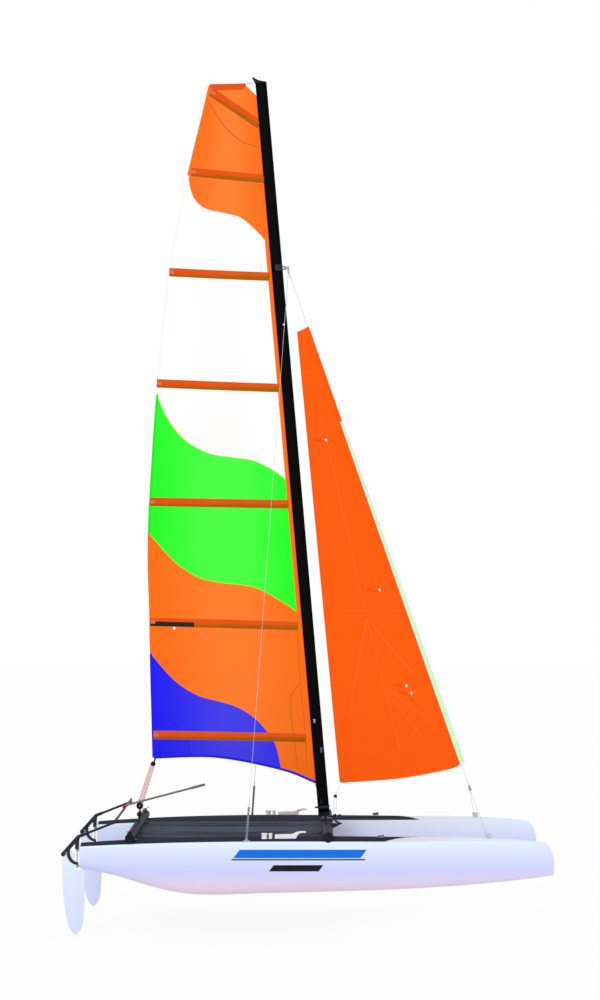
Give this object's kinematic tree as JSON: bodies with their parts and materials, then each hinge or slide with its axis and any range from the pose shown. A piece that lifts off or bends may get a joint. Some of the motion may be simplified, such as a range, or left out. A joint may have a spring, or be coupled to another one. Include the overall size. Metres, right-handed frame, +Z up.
{
  "type": "sport catamaran",
  "caption": "Beach catamaran under sail: two white hulls joined by beams and a trampoline, rotating mast, battened mainsail, jib and kick-up rudders.",
  "frame": {"origin": "midships on the centreline, at the waterline", "axes": "+X to the bow, +Y to port, +Z up"},
  "size_m": [5.1943, 2.3608, 9.2415],
  "materials": {
    "batten_cloth": "woven",
    "black_anodised": "anodised",
    "black_plastic": "moulded",
    "blade_laminate": "polished",
    "carbon": "satin",
    "decal": "vinyl",
    "gelcoat": "polished gelcoat",
    "grey_anodised": "anodised",
    "jib_sailcloth": "laminate, crisp",
    "main_sailcloth": "laminate, crisp",
    "mesh": "woven mesh",
    "non_skid": "textured",
    "red_plastic": "moulded",
    "rope": "braided",
    "sleeve_cloth": "woven",
    "stainless": "polished",
    "webbing": "woven"
  },
  "bodies": {
    "boat": {"beam_end_caps": "black_plastic", "bow_tangs": "stainless", "bridle_plate": "stainless", "chainplates": "stainless", "dolphin_striker": "stainless", "drain_plugs": "black_plastic", "forestay": "stainless", "jib_car": "black_plastic", "jib_track": "black_anodised", "main_beam": "black_anodised", "mast_step": "grey_anodised", "port_bridle_wire": "stainless", "port_deck_grip": "non_skid", "port_hull": "gelcoat", "port_shroud": "stainless", "port_shroud_adjuster": "stainless", "port_trampoline_rail": "black_anodised", "rear_beam": "black_anodised", "rudder_gudgeons": "stainless", "starboard_bridle_wire": "stainless", "starboard_deck_grip": "non_skid", "starboard_hull": "gelcoat", "starboard_shroud": "stainless", "starboard_shroud_adjuster": "stainless", "starboard_trampoline_rail": "black_anodised", "stay_plate": "stainless", "toe_straps": "webbing", "trampoline": "mesh", "traveller_car": "black_plastic", "traveller_track": "black_anodised"},
    "rig": {"mast": "black_anodised", "mast_base": "black_plastic", "masthead": "black_plastic", "hounds_tang": "stainless", "rotation_arm": "black_anodised", "mainsail": "main_sailcloth", "batten_pockets": "batten_cloth", "clew_block": "black_plastic"},
    "jib_body": {"jib": "jib_sailcloth", "luff_sleeve": "sleeve_cloth"},
    "crossbar_body": {"crossbar": "black_anodised"},
    "swivel_body": {"tiller_swivel": "red_plastic"},
    "extension_body": {"tiller_extension": "carbon"},
    "starboard_rudder": {"starboard_rudder_stock": "black_plastic", "starboard_rudder_pin": "stainless", "starboard_tiller_arm": "black_anodised", "starboard_blade_bolt": "stainless"},
    "starboard_blade": {"starboard_rudder_blade": "blade_laminate"},
    "port_rudder": {"port_rudder_stock": "black_plastic", "port_rudder_pin": "stainless", "port_tiller_arm": "black_anodised", "port_blade_bolt": "stainless"},
    "port_blade": {"port_rudder_blade": "blade_laminate"}
  },
  "joints": [
    {"name": "mast_rotation", "type": "hinge", "parent": "boat", "child": "rig", "pos_m": [0.095, 0, 0.56], "axis": [-0.0735, 0, 0.9973], "range_deg": [-45, 45]},
    {"name": "jib_swing", "type": "hinge", "parent": "boat", "child": "jib_body", "pos_m": [1.682, 0, 0.843], "axis": [-0.3312, 0, 0.9435], "range_deg": [-30, 30]},
    {"name": "starboard_steering", "type": "hinge", "parent": "boat", "child": "starboard_rudder", "pos_m": [-2.524, -1, 0.2], "axis": [0, 0, 1], "range_deg": [-35, 35]},
    {"name": "port_steering", "type": "hinge", "parent": "boat", "child": "port_rudder", "pos_m": [-2.524, 1, 0.2], "axis": [0, 0, 1], "range_deg": [-35, 35]},
    {"name": "crossbar_swing", "type": "hinge", "parent": "starboard_rudder", "child": "crossbar_body", "pos_m": [-2.113, -1, 0.622], "axis": [0, 0, 1], "range_deg": [-35, 35]},
    {"name": "extension_swing", "type": "hinge", "parent": "crossbar_body", "child": "swivel_body", "pos_m": [-2.113, 0, 0.66], "axis": [0, 0, 1], "range_deg": [-150, 0]},
    {"name": "extension_lift", "type": "hinge", "parent": "swivel_body", "child": "extension_body", "pos_m": [-2.113, 0, 0.66], "axis": [-0.271, -0.9626, 0], "range_deg": [-10, 50]},
    {"name": "starboard_kick_up", "type": "hinge", "parent": "starboard_rudder", "child": "starboard_blade", "pos_m": [-2.636, -1, 0.272], "axis": [0, 1, 0], "range_deg": [0, 85]},
    {"name": "port_kick_up", "type": "hinge", "parent": "port_rudder", "child": "port_blade", "pos_m": [-2.636, 1, 0.272], "axis": [0, 1, 0], "range_deg": [0, 85]}
  ],
  "couplings": [
    {"joint": "port_steering", "follows": "starboard_steering", "ratio": 1},
    {"joint": "crossbar_swing", "follows": "starboard_steering", "ratio": -1}
  ]
}
